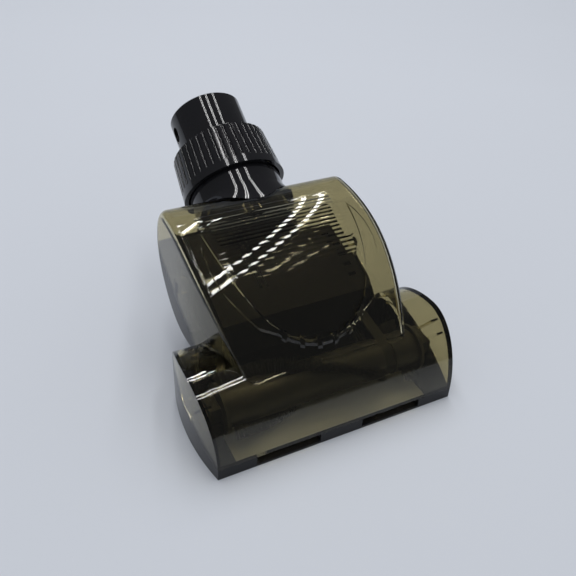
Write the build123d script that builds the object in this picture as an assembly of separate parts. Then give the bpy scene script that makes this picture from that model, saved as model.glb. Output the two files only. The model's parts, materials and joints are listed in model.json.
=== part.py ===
from build123d import *
import math
import os

# A small air-driven vacuum brush head: a smoked clear cover over a black base, a bristle roller
# behind the front lip, a turbine in the hump that drives it by a ribbed belt, and a round neck
# that leans back and up from the hump. Millimetres, X left to right, Y front to back, Z up.
# Every outline is drawn with the front lip at Y = 0, and write_piece centres the finished part.

# Head
HEAD_WIDTH = 120.0
HEAD_DEPTH = 54.0
END_BULGE = 3.2
HOOD_TOP = 38.5
HOOD_CREST_Y = 26.0
LIP_Z = 5.6
SEAM_BACK_Z = 27.4
WALL = 2.0
SOLE_THICKNESS = 2.6

# Hump, as heights and half widths
HUMP_TOP = 77.0
HUMP_TOP_Y = 93.0
HUMP_BACK_Y = 105.7
HUMP_SHOULDER_Z = 58.0
BACK_ROUNDING = 14.0
HUMP_TOE_Y = 6.5
HUMP_TOE_Z = 25.0
HUMP_RISE_Y = 21.5
HUMP_RISE_Z = 48.5
HUMP_CREST_REACH = 41.0
CHEEK_LOW_Z = 22.0
CHEEK_LOW_BEHIND = 8.0
BELLY_Z = 1.0
BELLY_END_BEHIND = 12.0
KEEL_BACK_Y = 103.5
KEEL_TOP_Z = 50.0
KEEL_STEP = 7.0
KEEL_EDGE_RADIUS = 8.0
TOE_HALF_WIDTH = 36.0
WAIST_HALF_WIDTH = 45.3
WAIST_Y = 38.0
BACK_HALF_WIDTH = 48.5
PLAN_TOE_Y = 8.0
PLAN_SHIN_Y = 21.0
PLAN_CHEEK_Y = 56.0
PLAN_BACK_Y = 74.0
CHEEK_DRAFT = 2.0
HUMP_EDGE_RADIUS = 4.0

# Raised U bead, its teeth and the fine cross ribs on the hump
BEAD_HEIGHT = 0.9
BEAD_ARC_RADIUS = 38.2
BEAD_ARC_WIDTH = 1.3
BEAD_FRONT_Y = 18.7
BEAD_ARM_OUTER = [(37.5, 71.5), (40.7, 59.0), (39.3, 45.0), (34.9, 35.7), (28.6, 27.6)]
BEAD_ARM_INNER = [(37.5, 71.5), (36.3, 61.0), (33.0, 46.5), (28.4, 35.7), (24.0, 29.2)]
TOOTH_COUNT = 8
TOOTH_PITCH = 11.8
TOOTH_WIDTH = 2.2
TOOTH_LENGTH = 3.0
PANEL_RIB_LOW_Y = 48.0
PANEL_RIB_HIGH_Y = 85.0
PANEL_RIB_PITCH = 3.2
PANEL_RIB_RADIUS = 5.0
PANEL_RIB_HEIGHT = 0.08
PANEL_RIB_MARGIN = 1.0

# Mouth and front slots in the sole
MOUTH_SIDE_GAP = 1.0
MOUTH_FRONT_Y = 5.0
MOUTH_BACK_Y = 38.5
SLOT_NEAR_X = 10.8
SLOT_FAR_X = 41.9
SILL_Z = 1.2

# Brush roller
ROLLER_Y = 23.0
ROLLER_Z = 17.0
ROLLER_CORE_RADIUS = 9.5
BRISTLE_TIP_RADIUS = 15.8
BRISTLE_ROOT_RADIUS = 7.4
BRISTLE_THICKNESS = 2.4
BRISTLE_TWIST = 200.0
END_DISC_THICKNESS = 1.6
END_DISC_RADIUS = 11.5
AXLE_RADIUS = 2.5
AXLE_END_GAP = 0.6
BUSH_RADIUS = 4.2
RUNNING_CLEARANCE = 0.05
BLOCK_SIZE = 13.0
BLOCK_THICKNESS = 5.0
BLOCK_GAP = 1.0
BLOCK_END_GAP = 1.4
CRADLE_WALL = 2.0

# Belt drive
BELT_FROM_CHEEK = 15.3
BELT_WIDTH = 5.4
BELT_THICKNESS = 1.2
BELT_RIB_COUNT = 3
BELT_RIB_DEPTH = 0.7
BELT_RIB_SHARE = 0.24
GROOVE_SHARE = 0.36
GROOVE_GAP = 0.1
BELT_CLEARANCE = 0.3
BELT_SIDE_GAP = 0.2
BRISTLE_SIDE_GAP = 1.5
ROLLER_PULLEY_RADIUS = 7.5
TURBINE_PULLEY_RADIUS = 5.5
PULLEY_FLANGE = 1.6
FLANGE_THICKNESS = 0.8

# Turbine
TURBINE_Y = 70.0
TURBINE_Z = 27.0
TURBINE_RADIUS = 18.5
TURBINE_HUB_RADIUS = 6.0
BLADE_COUNT = 9
BLADE_THICKNESS = 1.3
BLADE_SWEEP = 38.0
BLADE_LEAN = 12.0
BLADE_TIP_LIP = 1.5
DISC_THICKNESS = 1.2
SHAFT_RADIUS = 2.0
SHAFT_END_GAP = 0.3
SHAFT_HOLE_GAP = 1.0
BEARING_RADIUS = 5.5
BEARING_WIDTH = 4.0
SIDE_CLEARANCE = 1.5

# Inner duct that carries the turbine
DUCT_WALL = 1.6
DUCT_GAP = 0.4
DUCT_FROM_KEEL = 3.5
DUCT_FRONT_Y = 45.5
ROOF_FRONT_Z = 41.4
ROOF_SLOPE = 0.44
BELT_ROOM = 1.5
NOZZLE_LOW_Z = 8.0
NOZZLE_HIGH_Z = 22.0
NOZZLE_MARGIN = 5.0
ROOF_RIB_X = -12.0
ROOF_RIB_SPACING = 3.2
ROOF_RIB_WIDTH = 1.0
ROOF_RIB_HEIGHT = 1.2
ROOF_RIB_START = 13.0
ROOF_RIB_LENGTH = 33.0
VENT_COUNT = 7
VENT_LENGTH = 4.0
VENT_WIDTH = 1.6
VENT_PITCH = 5.5
VENT_START = 8.0
BELT_SLOT_LOW_Z = 10.5
BELT_SLOT_HIGH_Z = 35.0
BELT_SLOT_MARGIN = 0.9

# Neck: a point on its axis at the grip ring's lower rim, and its lean
NECK_Y = 121.4
NECK_Z = 65.5
NECK_ANGLE = 32.0
NECK_HOLE_RADIUS = 23.4
SADDLE_WALL = 3.1
SADDLE_END = -20.6
SADDLE_START = -48.0
NECK_BORE_RADIUS = 14.6
FOOT_BORE_RADIUS = 11.8
THROAT_RADIUS = 17.6
NECK_FOOT_START = -26.0
NECK_FLANGE_THICKNESS = 2.0
NECK_FLANGE_LIP = 1.2
NECK_END = 20.0
SOCKET_BORE_RADIUS = 17.5
SOCKET_RADIUS = 19.5
SOCKET_START = 2.0
SOCKET_SHOULDER = 21.0
SOCKET_LEDGE = 2.4
SOCKET_END = 48.2
SOCKET_CHAMFER = 0.6
LATCH_HOLE_RADIUS = 3.0
LATCH_HOLE_LENGTH = 9.0
LATCH_HOLE_FROM_END = 10.0
SEAL_RADIUS = 0.87
SEAL_RING_RADIUS = THROAT_RADIUS - SEAL_RADIUS
SEAL_POSITION = 12.0

# Ribbed grip ring
RING_LOW_RADIUS = 27.4
RING_TOP_RADIUS = 25.4
RING_LENGTH = 24.9
RING_RIM_LENGTH = 4.0
RING_WALL = 2.2
RING_SKIRT = 6.0
RING_RIB_COUNT = 44
RING_RIB_DEPTH = 0.9
RING_CLEARANCE = 0.06
RING_TOP_CHAMFER = 1.0

# Rear wheels, screws and lint strips
WHEEL_RADIUS = 4.8
WHEEL_WIDTH = 5.0
WHEEL_X = 33.0
WHEEL_Y = 91.0
WHEEL_PIN_RADIUS = 1.2
WHEEL_GAP = 0.4
WHEEL_ROUNDING = 1.0
LUG_THICKNESS = 1.8
LUG_RADIUS = 3.0
LUG_SPREAD = 14.0
LUG_HEIGHT = 16.0
SCREW_RADIUS = 1.5
SCREW_HEAD_RADIUS = 3.0
SCREW_HEAD_HEIGHT = 2.0
SCREW_CLEARANCE = 0.2
SCREW_END_GAP = 0.5
SCREW_SLOT_WIDTH = 1.0
SCREW_SLOT_DEPTH = 0.8
POST_RADIUS = 3.4
HEAD_POST_FROM_END = 7.0
HEAD_POST_Y = 46.5
HEAD_POST_Z = 19.0
HUMP_POST_SINK = 2.0
HUMP_POST_Y = 76.0
HUMP_POST_Z = 36.0
HUMP_POST_TOP = 50.0
SEAT_Z = 3.0
HUMP_SEAT_Z = 29.0
SCREW_BITE = 8.0
STRIP_DEPTH = 1.0
STRIP_WIDTH = 3.0
STRIP_HALF_LENGTH = 46.0
STRIP_Y = 43.0
END_RIB_THICKNESS = 1.0
END_RIB_DEPTH = 4.0
END_RIB_RUNS = [((30.5, 19.2), (19.0, 33.5)), ((24.0, 17.2), (13.5, 29.8))]

REACH = 200.0
BLOCK_NEAR_X = HEAD_WIDTH / 2 - WALL - BLOCK_END_GAP - BLOCK_THICKNESS
ROLLER_HALF_LENGTH = BLOCK_NEAR_X - BLOCK_GAP - END_DISC_THICKNESS
MOUTH_HALF_WIDTH = ROLLER_HALF_LENGTH + MOUTH_SIDE_GAP
CHEEK_LOW_Y = HEAD_DEPTH + CHEEK_LOW_BEHIND
BELLY_END_Y = HEAD_DEPTH + BELLY_END_BEHIND
KEEL_HALF_WIDTH = BACK_HALF_WIDTH - KEEL_STEP
BELT_X = BACK_HALF_WIDTH - BELT_FROM_CHEEK
DUCT_LEFT_X = DUCT_FROM_KEEL - KEEL_HALF_WIDTH
DUCT_RIGHT_X = BELT_X + BELT_WIDTH / 2 + BELT_ROOM + DUCT_WALL
DIVIDER_X = BELT_X - BELT_WIDTH / 2 - BELT_ROOM - DUCT_WALL
HEAD_POST_X = HEAD_WIDTH / 2 - HEAD_POST_FROM_END
HUMP_POST_X = BACK_HALF_WIDTH - WALL - POST_RADIUS + HUMP_POST_SINK
TURBINE_LEFT_SEAT = DUCT_LEFT_X + DUCT_WALL
TURBINE_RIGHT_SEAT = DIVIDER_X - BEARING_WIDTH
NECK_COS = math.cos(math.radians(NECK_ANGLE))
NECK_SIN = math.sin(math.radians(NECK_ANGLE))
SEAM_SLOPE = (SEAM_BACK_Z - LIP_Z) / HEAD_DEPTH
OVERALL_LENGTH = NECK_Y + SOCKET_END * NECK_COS + (SOCKET_RADIUS - SOCKET_CHAMFER) * NECK_SIN
NECK_FRAME = Plane(origin=(0, NECK_Y, NECK_Z), x_dir=(1, 0, 0), z_dir=(0, NECK_COS, NECK_SIN))


def across(face, low_x, high_x):
    """Extrude a face drawn in Y and Z from low_x to high_x."""
    return Pos(low_x, 0, 0) * extrude(Plane.YZ * face, high_x - low_x)


def upright(face, low_z, high_z):
    """Extrude a face drawn in X and Y from low_z to high_z."""
    return Pos(0, 0, low_z) * extrude(face, high_z - low_z)


def block(low, high):
    """A box from its lowest corner to its highest corner."""
    size = [b - a for a, b in zip(low, high)]
    middle = [(a + b) / 2 for a, b in zip(low, high)]
    return Pos(*middle) * Box(*size)


def rod(radius, low_x, high_x, y, z):
    """A round bar along X."""
    return across(Pos(y, z) * Circle(radius), low_x, high_x)


def about_x(points, y, z):
    """Turn a closed outline of (x, radius) points about a line along X at y, z."""
    face = make_face(Polyline(*[(x, r) for x, r in points], close=True))
    return Pos(0, y, z) * revolve(face, Axis.X)


def about_neck(points):
    """Turn a closed outline of (radius, distance along the neck) points about the neck axis."""
    face = make_face(Polyline(*[(r, 0, t) for r, t in points], close=True))
    return NECK_FRAME.location * revolve(face, Axis.Z)


def head_form(inset):
    """The closed form of the head, with its walls moved in by inset."""
    floor = SOLE_THICKNESS if inset > 0 else 0.0
    top = HOOD_TOP - inset
    back = HEAD_DEPTH - inset
    corner = SEAM_BACK_Z - inset / 2
    outline = [
        Line((inset, floor), (inset, LIP_Z)),
        EllipticalCenterArc((HOOD_CREST_Y, LIP_Z), HOOD_CREST_Y - inset, top - LIP_Z, 90,
                            arc_size=90),
        Bezier((HOOD_CREST_Y, top), (HOOD_CREST_Y + 12, top), (back - 4, top - 3), (back, corner)),
        Polyline((back, corner), (back, floor), (inset, floor)),
    ]
    side = across(make_face(outline), -REACH, REACH)
    half = HEAD_WIDTH / 2 - inset
    middle = HEAD_DEPTH / 2
    plan = [
        Line((-half, 0), (half, 0)),
        ThreePointArc((half, 0), (half + END_BULGE, middle), (half, HEAD_DEPTH)),
        Line((half, HEAD_DEPTH), (-half, HEAD_DEPTH)),
        ThreePointArc((-half, HEAD_DEPTH), (-half - END_BULGE, middle), (-half, 0)),
    ]
    return side & upright(make_face(plan), 0, REACH)


def hump_top_curve(inset):
    """The hump's ridge in side view, from its toe on the hood to its highest point."""
    top = HUMP_TOP - inset
    return Bezier(
        (HUMP_TOE_Y + inset, HUMP_TOE_Z - inset),
        (HUMP_RISE_Y + inset, HUMP_RISE_Z - inset),
        (HUMP_TOP_Y - HUMP_CREST_REACH, top),
        (HUMP_TOP_Y, top),
    )


def hump_plan(inset, z):
    """The hump's outline in plan at height z, narrower towards the top by the cheeks' draft."""
    flare = (HUMP_TOP - z) * math.tan(math.radians(CHEEK_DRAFT)) - inset
    half_widths = [
        (TOE_HALF_WIDTH - 2, -2), (TOE_HALF_WIDTH, PLAN_TOE_Y),
        ((TOE_HALF_WIDTH + WAIST_HALF_WIDTH) / 2, PLAN_SHIN_Y), (WAIST_HALF_WIDTH, WAIST_Y),
        (BACK_HALF_WIDTH - 0.6, PLAN_CHEEK_Y), (BACK_HALF_WIDTH, PLAN_BACK_Y),
        (BACK_HALF_WIDTH, HUMP_BACK_Y + 6)]
    right = Spline(*[(x + flare, y, z) for x, y in half_widths])
    left = Spline(*[(-x - flare, y, z) for x, y in half_widths])
    return make_face([right, left, Line(left @ 0, right @ 0), Line(left @ 1, right @ 1)])


def hump_keel(inset):
    """The narrower tub below the cheeks, which holds the duct and carries the rear wheels."""
    back = KEEL_BACK_Y - inset
    belly = BELLY_Z + max(inset, 0)
    outline = make_face([
        Line((HUMP_TOE_Y + 8, KEEL_TOP_Z / 2), (back, KEEL_TOP_Z)),
        Bezier((back, KEEL_TOP_Z), (back, KEEL_TOP_Z * 0.6), (back - 8.5, belly), (BELLY_END_Y, belly)),
        Polyline((BELLY_END_Y, belly), (HEAD_DEPTH - 10, belly), (HUMP_TOE_Y + 8, KEEL_TOP_Z / 4),
                 (HUMP_TOE_Y + 8, KEEL_TOP_Z / 2)),
    ])
    half = KEEL_HALF_WIDTH - inset
    section = RectangleRounded(2 * half, 2 * REACH, KEEL_EDGE_RADIUS - max(inset, 0))
    tunnel = extrude(Plane.XZ * (Pos(0, belly + REACH) * section), -REACH)
    return across(outline, -REACH, REACH) & tunnel


def hump_form(inset, rounded=True):
    """The closed form of the hump, with its walls moved in by inset."""
    top = HUMP_TOP - inset
    back = HUMP_BACK_Y - inset
    low = CHEEK_LOW_Z + inset
    shoulder = (back, HUMP_SHOULDER_Z)
    outline = [
        hump_top_curve(inset),
        Bezier((HUMP_TOP_Y, top), (HUMP_TOP_Y + 6, top), (back, HUMP_SHOULDER_Z + BACK_ROUNDING), shoulder),
        Bezier(shoulder, (back, HUMP_SHOULDER_Z - BACK_ROUNDING), (back - BACK_ROUNDING - 2, low), (CHEEK_LOW_Y, low)),
        Polyline((CHEEK_LOW_Y, low), (HEAD_DEPTH - 10, low), (HUMP_TOE_Y + 8, HUMP_TOE_Z / 2),
                 (HUMP_TOE_Y + inset, HUMP_TOE_Z - inset)),
    ]
    body = across(make_face(outline), -REACH, REACH)
    body = body & loft([hump_plan(inset, -1), hump_plan(inset, HUMP_TOP + 10)], ruled=True)
    if rounded:
        radius = max(HUMP_EDGE_RADIUS - max(inset, 0), 0.8)
        edges = [e for e in body.edges() if e.center().Z > CHEEK_LOW_Z + 12 and cheek_edge(e)]
        body = fillet(edges, radius)
    return body + hump_keel(inset)


def cheek_edge(edge):
    """True for an edge between a cheek and the ridge, the back or the belly."""
    box = edge.bounding_box()
    return box.size.X < 20 and abs(edge.center().X) > 20 and box.size.Y > 3


def neck_rod(radius, start, end):
    """A round bar along the neck axis."""
    return NECK_FRAME.location * (Pos(0, 0, start) * extrude(Circle(radius), end - start))


def outer_form():
    """The whole housing as one closed form."""
    saddle = neck_rod(NECK_HOLE_RADIUS + SADDLE_WALL, SADDLE_START, SADDLE_END)
    return head_form(0) + hump_form(0) + saddle


def cavity():
    """The hollow inside the housing, with the round opening for the neck."""
    opening = neck_rod(NECK_HOLE_RADIUS, SADDLE_START, 30)
    recess_end = NECK_FOOT_START + NECK_FLANGE_THICKNESS + DUCT_GAP
    recess = neck_rod(NECK_HOLE_RADIUS + NECK_FLANGE_LIP + DUCT_GAP, SADDLE_START, recess_end)
    return head_form(WALL) + hump_form(WALL) + recess + opening


def above_seam():
    """Everything above the line where the cover meets the base."""
    join_y = 96.0
    join_z = NECK_Z + (join_y - NECK_Y) * NECK_SIN / NECK_COS
    far_z = NECK_Z + (REACH - NECK_Y) * NECK_SIN / NECK_COS
    outline = Polyline(
        (-20, LIP_Z - 20 * SEAM_SLOPE), (HEAD_DEPTH, SEAM_BACK_Z), (HEAD_DEPTH + 8, SEAM_BACK_Z + 7),
        (join_y, join_z), (REACH, far_z), (REACH, REACH), (-20, REACH), close=True)
    return across(make_face(outline), -REACH, REACH)


def bead_plan():
    """The U bead in plan: a thin toothed arc at the front and two arms that swell and taper."""
    centre = Pos(0, BEAD_FRONT_Y + BEAD_ARC_RADIUS)
    band = Circle(BEAD_ARC_RADIUS + BEAD_ARC_WIDTH / 2) - Circle(BEAD_ARC_RADIUS - BEAD_ARC_WIDTH / 2)
    low_y = BEAD_ARM_INNER[-1][1]
    shape = (centre * band) & (Pos(0, low_y - REACH / 2) * Rectangle(REACH, REACH))
    for side in (-1, 1):
        outer = Spline(*[(side * x, y) for x, y in BEAD_ARM_OUTER])
        inner = Spline(*[(side * x, y) for x, y in BEAD_ARM_INNER])
        root = centre * Rot(0, 0, side * TOOTH_PITCH * TOOTH_COUNT / 4) * Pos(0, -BEAD_ARC_RADIUS)
        toe = (root.position.X, root.position.Y)
        shape = shape + make_face([outer, inner, Polyline(outer @ 1, toe, inner @ 1)])
    for number in range(TOOTH_COUNT):
        turn = TOOTH_PITCH * (number - (TOOTH_COUNT - 1) / 2)
        tooth = centre * Rot(0, 0, turn) * Pos(0, -BEAD_ARC_RADIUS)
        shape = shape + tooth * Rectangle(TOOTH_WIDTH, TOOTH_LENGTH)
    return shape


def panel_ribs():
    """Fine shallow cross ribs along the ridge, inside the U bead."""
    ridge = hump_top_curve(0)
    inner = Spline(*BEAD_ARM_INNER)
    steps = int((PANEL_RIB_HIGH_Y - PANEL_RIB_LOW_Y) / PANEL_RIB_PITCH)
    tip_x, tip_y = BEAD_ARM_INNER[0]
    ribs = []
    for number in range(steps + 1):
        rib_y = PANEL_RIB_LOW_Y + number * PANEL_RIB_PITCH
        cut = ridge.find_intersection_points(Axis((rib_y, 0), (0, 1)))[0]
        slope = ridge % ridge.param_at_point(cut)
        reach = tip_x
        if rib_y < tip_y:
            reach = inner.find_intersection_points(Axis((0, rib_y), (1, 0)))[0].X
        reach = reach - PANEL_RIB_MARGIN
        sink = PANEL_RIB_RADIUS - PANEL_RIB_HEIGHT
        ribs.append(rod(PANEL_RIB_RADIUS, -reach, reach, cut.X + slope.Y * sink, cut.Y - slope.X * sink))
    return ribs


def screw_places():
    """Each screw's x, y, the height of its joint face, of its head's seat and of its post's top."""
    places = []
    for side in (-1, 1):
        places.append((side * HEAD_POST_X, HEAD_POST_Y, HEAD_POST_Z, SEAT_Z, REACH))
        places.append((side * HUMP_POST_X, HUMP_POST_Y, HUMP_POST_Z, HUMP_SEAT_Z, HUMP_POST_TOP))
    return places


def column(radius, x, y, low_z, high_z):
    """A round bar along Z."""
    return Pos(x, y, low_z) * extrude(Circle(radius), high_z - low_z)


def end_ribs():
    """Two slanted ribs inside each end wall of the cover."""
    ribs = []
    for low, high in END_RIB_RUNS:
        run = Line(low, high)
        middle = run @ 0.5
        tilt = math.degrees(math.atan2(high[1] - low[1], high[0] - low[0]))
        strip = Pos(middle.X, middle.Y) * Rot(0, 0, tilt) * Rectangle(run.length, END_RIB_THICKNESS)
        near = HEAD_WIDTH / 2 - WALL - END_RIB_DEPTH / 4
        ribs.append(across(strip, near, near + END_RIB_DEPTH))
        ribs.append(across(strip, -near - END_RIB_DEPTH, -near))
    return ribs


def make_top_cover(shell, form):
    """Smoked clear cover: hood, hump, U bead, cross ribs, end ribs and screw posts."""
    upper = above_seam()
    bead = upright(bead_plan(), 20, REACH) & hump_form(-BEAD_HEIGHT, rounded=False)
    cover = (shell & upper) + (bead - form)
    core = hump_form(WALL / 2, rounded=False)
    cover = cover + [rib - core for rib in panel_ribs()]
    cover = cover + [rib & form for rib in end_ribs()]
    lower_walls = shell - upper
    for x, y, joint_z, _, top_z in screw_places():
        post = column(POST_RADIUS, x, y, joint_z, top_z) & form
        cover = cover + (post - lower_walls)
    for x, y, joint_z, _, _ in screw_places():
        cover = cover - column(SCREW_RADIUS, x, y, joint_z - 1, joint_z + SCREW_BITE)
    return cover


def cradle(side):
    """Saddle that holds one bearing block of the roller, fused to the base's end wall."""
    near = BLOCK_NEAR_X
    far = near + BLOCK_THICKNESS
    half = BLOCK_SIZE / 2
    low_y = ROLLER_Y - half - CRADLE_WALL
    high_y = ROLLER_Y + half + CRADLE_WALL
    saddle = block((near, low_y, 1), (far + BLOCK_END_GAP + WALL / 2, high_y, ROLLER_Z - 1))
    pocket = block((near - 1, ROLLER_Y - half, ROLLER_Z - half), (far, ROLLER_Y + half, REACH))
    piece = saddle - pocket
    return piece if side > 0 else mirror(piece, Plane.YZ)


def wheel_lugs(side):
    """The pair of lugs that carries one rear wheel."""
    offset = WHEEL_WIDTH / 2 + WHEEL_GAP
    outline = make_hull([
        Pos(WHEEL_Y, WHEEL_RADIUS) * Edge.make_circle(LUG_RADIUS),
        Line((WHEEL_Y - LUG_SPREAD, WHEEL_RADIUS + LUG_HEIGHT), (WHEEL_Y + LUG_RADIUS, WHEEL_RADIUS + LUG_HEIGHT)),
    ])
    lugs = []
    for edge in (-offset - LUG_THICKNESS, offset):
        low_x = side * WHEEL_X + edge
        lugs.append(across(outline, low_x, low_x + LUG_THICKNESS))
    return lugs


def make_base(shell, form, hollow):
    """Black base: sole with its mouth and front slots, belly, cradles, lugs and screw posts."""
    base = shell - above_seam()
    for side in (-1, 1):
        base = base + (cradle(side) & form)
        base = base + [lug - hollow for lug in wheel_lugs(side)]
    for x, y, joint_z, _, _ in screw_places():
        base = base + (column(POST_RADIUS, x, y, 0, joint_z) & form)
    for x, y, joint_z, seat_z, _ in screw_places():
        base = base - column(SCREW_RADIUS + SCREW_CLEARANCE, x, y, -1, joint_z + 1)
        base = base - column(SCREW_HEAD_RADIUS + SCREW_CLEARANCE, x, y, -1, seat_z)
    base = base - block((-MOUTH_HALF_WIDTH, MOUTH_FRONT_Y, -1),
                        (MOUTH_HALF_WIDTH, MOUTH_BACK_Y, SOLE_THICKNESS + 0.1))
    for side in (-1, 1):
        near, far = sorted((side * SLOT_NEAR_X, side * SLOT_FAR_X))
        base = base - block((near, -1, SILL_Z), (far, MOUTH_FRONT_Y + 0.1, LIP_Z + 4))
    base = base - block((-STRIP_HALF_LENGTH, STRIP_Y - STRIP_WIDTH / 2, -1),
                        (STRIP_HALF_LENGTH, STRIP_Y + STRIP_WIDTH / 2, STRIP_DEPTH))
    pins = rod(WHEEL_PIN_RADIUS, -REACH, REACH, WHEEL_Y, WHEEL_RADIUS)
    return base - pins


def make_lint_strip():
    """Felt strip let into the sole behind the mouth."""
    return block((-STRIP_HALF_LENGTH, STRIP_Y - STRIP_WIDTH / 2, 0),
                 (STRIP_HALF_LENGTH, STRIP_Y + STRIP_WIDTH / 2, STRIP_DEPTH))


def under_roof(drop):
    """Everything below the duct's sloping roof, moved down by drop."""
    far_y = DUCT_FRONT_Y + REACH
    near_z = ROOF_FRONT_Z - drop
    outline = Polyline((-REACH, near_z - ROOF_SLOPE * (REACH + DUCT_FRONT_Y)),
                       (far_y, near_z + ROOF_SLOPE * REACH), (far_y, -REACH), (-REACH, -REACH),
                       close=True)
    return across(make_face(outline), -REACH, REACH)


def duct_envelope(wall):
    """The duct's closed form, with its walls moved in by wall."""
    envelope = hump_form(WALL + DUCT_GAP + wall) & under_roof(wall * 1.1)
    envelope = envelope & block((DUCT_LEFT_X + wall, DUCT_FRONT_Y + wall, -REACH),
                                (DUCT_RIGHT_X - wall, REACH, REACH))
    return envelope & neck_rod(REACH, -REACH, NECK_FOOT_START - DUCT_GAP - wall)


def roof_ribs():
    """The double rib that runs up the duct's roof."""
    start_y = DUCT_FRONT_Y + ROOF_RIB_START
    end_y = start_y + ROOF_RIB_LENGTH
    ribs = []
    for x in (ROOF_RIB_X - ROOF_RIB_SPACING / 2, ROOF_RIB_X + ROOF_RIB_SPACING / 2):
        heights = [ROOF_FRONT_Z + ROOF_SLOPE * (y - DUCT_FRONT_Y) for y in (start_y, end_y)]
        outline = Polyline(
            (start_y, heights[0] - 0.5), (end_y, heights[1] - 0.5),
            (end_y, heights[1] + ROOF_RIB_HEIGHT), (start_y, heights[0] + ROOF_RIB_HEIGHT),
            close=True)
        ribs.append(across(make_face(outline), x - ROOF_RIB_WIDTH / 2, x + ROOF_RIB_WIDTH / 2))
    return ribs


def make_duct():
    """The inner duct that holds the turbine and the belt, split at the shaft's height."""
    inside = duct_envelope(DUCT_WALL)
    divider = block((DIVIDER_X, -REACH, -REACH), (DIVIDER_X + DUCT_WALL, REACH, REACH))
    duct = duct_envelope(0) - (inside - divider)
    left_seat = rod(BEARING_RADIUS + DUCT_WALL, DUCT_LEFT_X + 0.5, TURBINE_LEFT_SEAT + BEARING_WIDTH,
                    TURBINE_Y, TURBINE_Z)
    right_seat = rod(BEARING_RADIUS + DUCT_WALL, TURBINE_RIGHT_SEAT, DIVIDER_X + 0.5,
                     TURBINE_Y, TURBINE_Z)
    duct = duct + left_seat + right_seat + roof_ribs()
    duct = duct - rod(BEARING_RADIUS, TURBINE_LEFT_SEAT, TURBINE_LEFT_SEAT + BEARING_WIDTH + 1,
                      TURBINE_Y, TURBINE_Z)
    duct = duct - rod(BEARING_RADIUS, TURBINE_RIGHT_SEAT - 1, TURBINE_RIGHT_SEAT + BEARING_WIDTH,
                      TURBINE_Y, TURBINE_Z)
    duct = duct - rod(SHAFT_RADIUS + SHAFT_HOLE_GAP, DIVIDER_X - 1, DIVIDER_X + DUCT_WALL + 1, TURBINE_Y, TURBINE_Z)
    duct = duct - block(
        (DUCT_LEFT_X + DUCT_WALL + NOZZLE_MARGIN, DUCT_FRONT_Y - 1, NOZZLE_LOW_Z),
        (DIVIDER_X - NOZZLE_MARGIN, DUCT_FRONT_Y + DUCT_WALL + 1, NOZZLE_HIGH_Z))
    duct = duct - block(
        (BELT_X - BELT_WIDTH / 2 - BELT_SLOT_MARGIN, DUCT_FRONT_Y - 1, BELT_SLOT_LOW_Z),
        (BELT_X + BELT_WIDTH / 2 + BELT_SLOT_MARGIN, DUCT_FRONT_Y + DUCT_WALL + 1, BELT_SLOT_HIGH_Z))
    duct = duct - neck_rod(FOOT_BORE_RADIUS, NECK_FOOT_START - 6, 0)
    for number in range(VENT_COUNT):
        y = DUCT_FRONT_Y + VENT_START + number * VENT_PITCH
        z = ROOF_FRONT_Z + ROOF_SLOPE * (y - DUCT_FRONT_Y)
        duct = duct - block((BELT_X - VENT_LENGTH / 2, y, z - 5),
                            (BELT_X + VENT_LENGTH / 2, y + VENT_WIDTH, z + 5))
    lower = block((-REACH, -REACH, -REACH), (REACH, REACH, TURBINE_Z))
    return duct & lower, duct - lower


def groove_centres():
    """The x of each rib of the belt."""
    pitch = BELT_WIDTH / BELT_RIB_COUNT
    first = BELT_X - pitch * (BELT_RIB_COUNT - 1) / 2
    return [first + pitch * number for number in range(BELT_RIB_COUNT)]


def pulley_outline(radius, low_x, high_x):
    """Points from low_x to high_x along a pulley face with a groove for each belt rib."""
    half = BELT_WIDTH / BELT_RIB_COUNT * GROOVE_SHARE
    points = [(low_x, radius)]
    for x in groove_centres():
        floor = radius - BELT_RIB_DEPTH - GROOVE_GAP
        points += [(x - half, radius), (x - half, floor), (x + half, floor), (x + half, radius)]
    points.append((high_x, radius))
    return points


def make_roller_core():
    """Roller core with the belt's grooved seat, before its bristle slots are cut."""
    zone = BELT_WIDTH / 2 + BELT_SIDE_GAP
    outline = [(-ROLLER_HALF_LENGTH, AXLE_RADIUS), (-ROLLER_HALF_LENGTH, ROLLER_CORE_RADIUS),
               (BELT_X - zone, ROLLER_CORE_RADIUS)]
    outline += pulley_outline(ROLLER_PULLEY_RADIUS, BELT_X - zone, BELT_X + zone)
    outline += [(BELT_X + zone, ROLLER_CORE_RADIUS), (ROLLER_HALF_LENGTH, ROLLER_CORE_RADIUS),
                (ROLLER_HALF_LENGTH, AXLE_RADIUS)]
    return about_x(outline, ROLLER_Y, ROLLER_Z)


def bristle_fin(angle, low_x, high_x):
    """One helical bristle row of the roller from low_x to high_x."""
    turn_per_mm = BRISTLE_TWIST / (2 * ROLLER_HALF_LENGTH)
    start = math.radians(angle + (low_x + ROLLER_HALF_LENGTH) * turn_per_mm)
    middle = (BRISTLE_TIP_RADIUS + BRISTLE_ROOT_RADIUS) / 2
    depth = BRISTLE_TIP_RADIUS - BRISTLE_ROOT_RADIUS
    section = Pos(ROLLER_Y + middle * math.cos(start), ROLLER_Z + middle * math.sin(start)) * (
        Rot(0, 0, math.degrees(start)) * Rectangle(depth, BRISTLE_THICKNESS))
    face = Pos(low_x, 0, 0) * (Plane.YZ * section)
    length = high_x - low_x
    return Solid.extrude_linear_with_rotation(
        face.face(), (low_x, ROLLER_Y, ROLLER_Z), (length, 0, 0), turn_per_mm * length)


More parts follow.
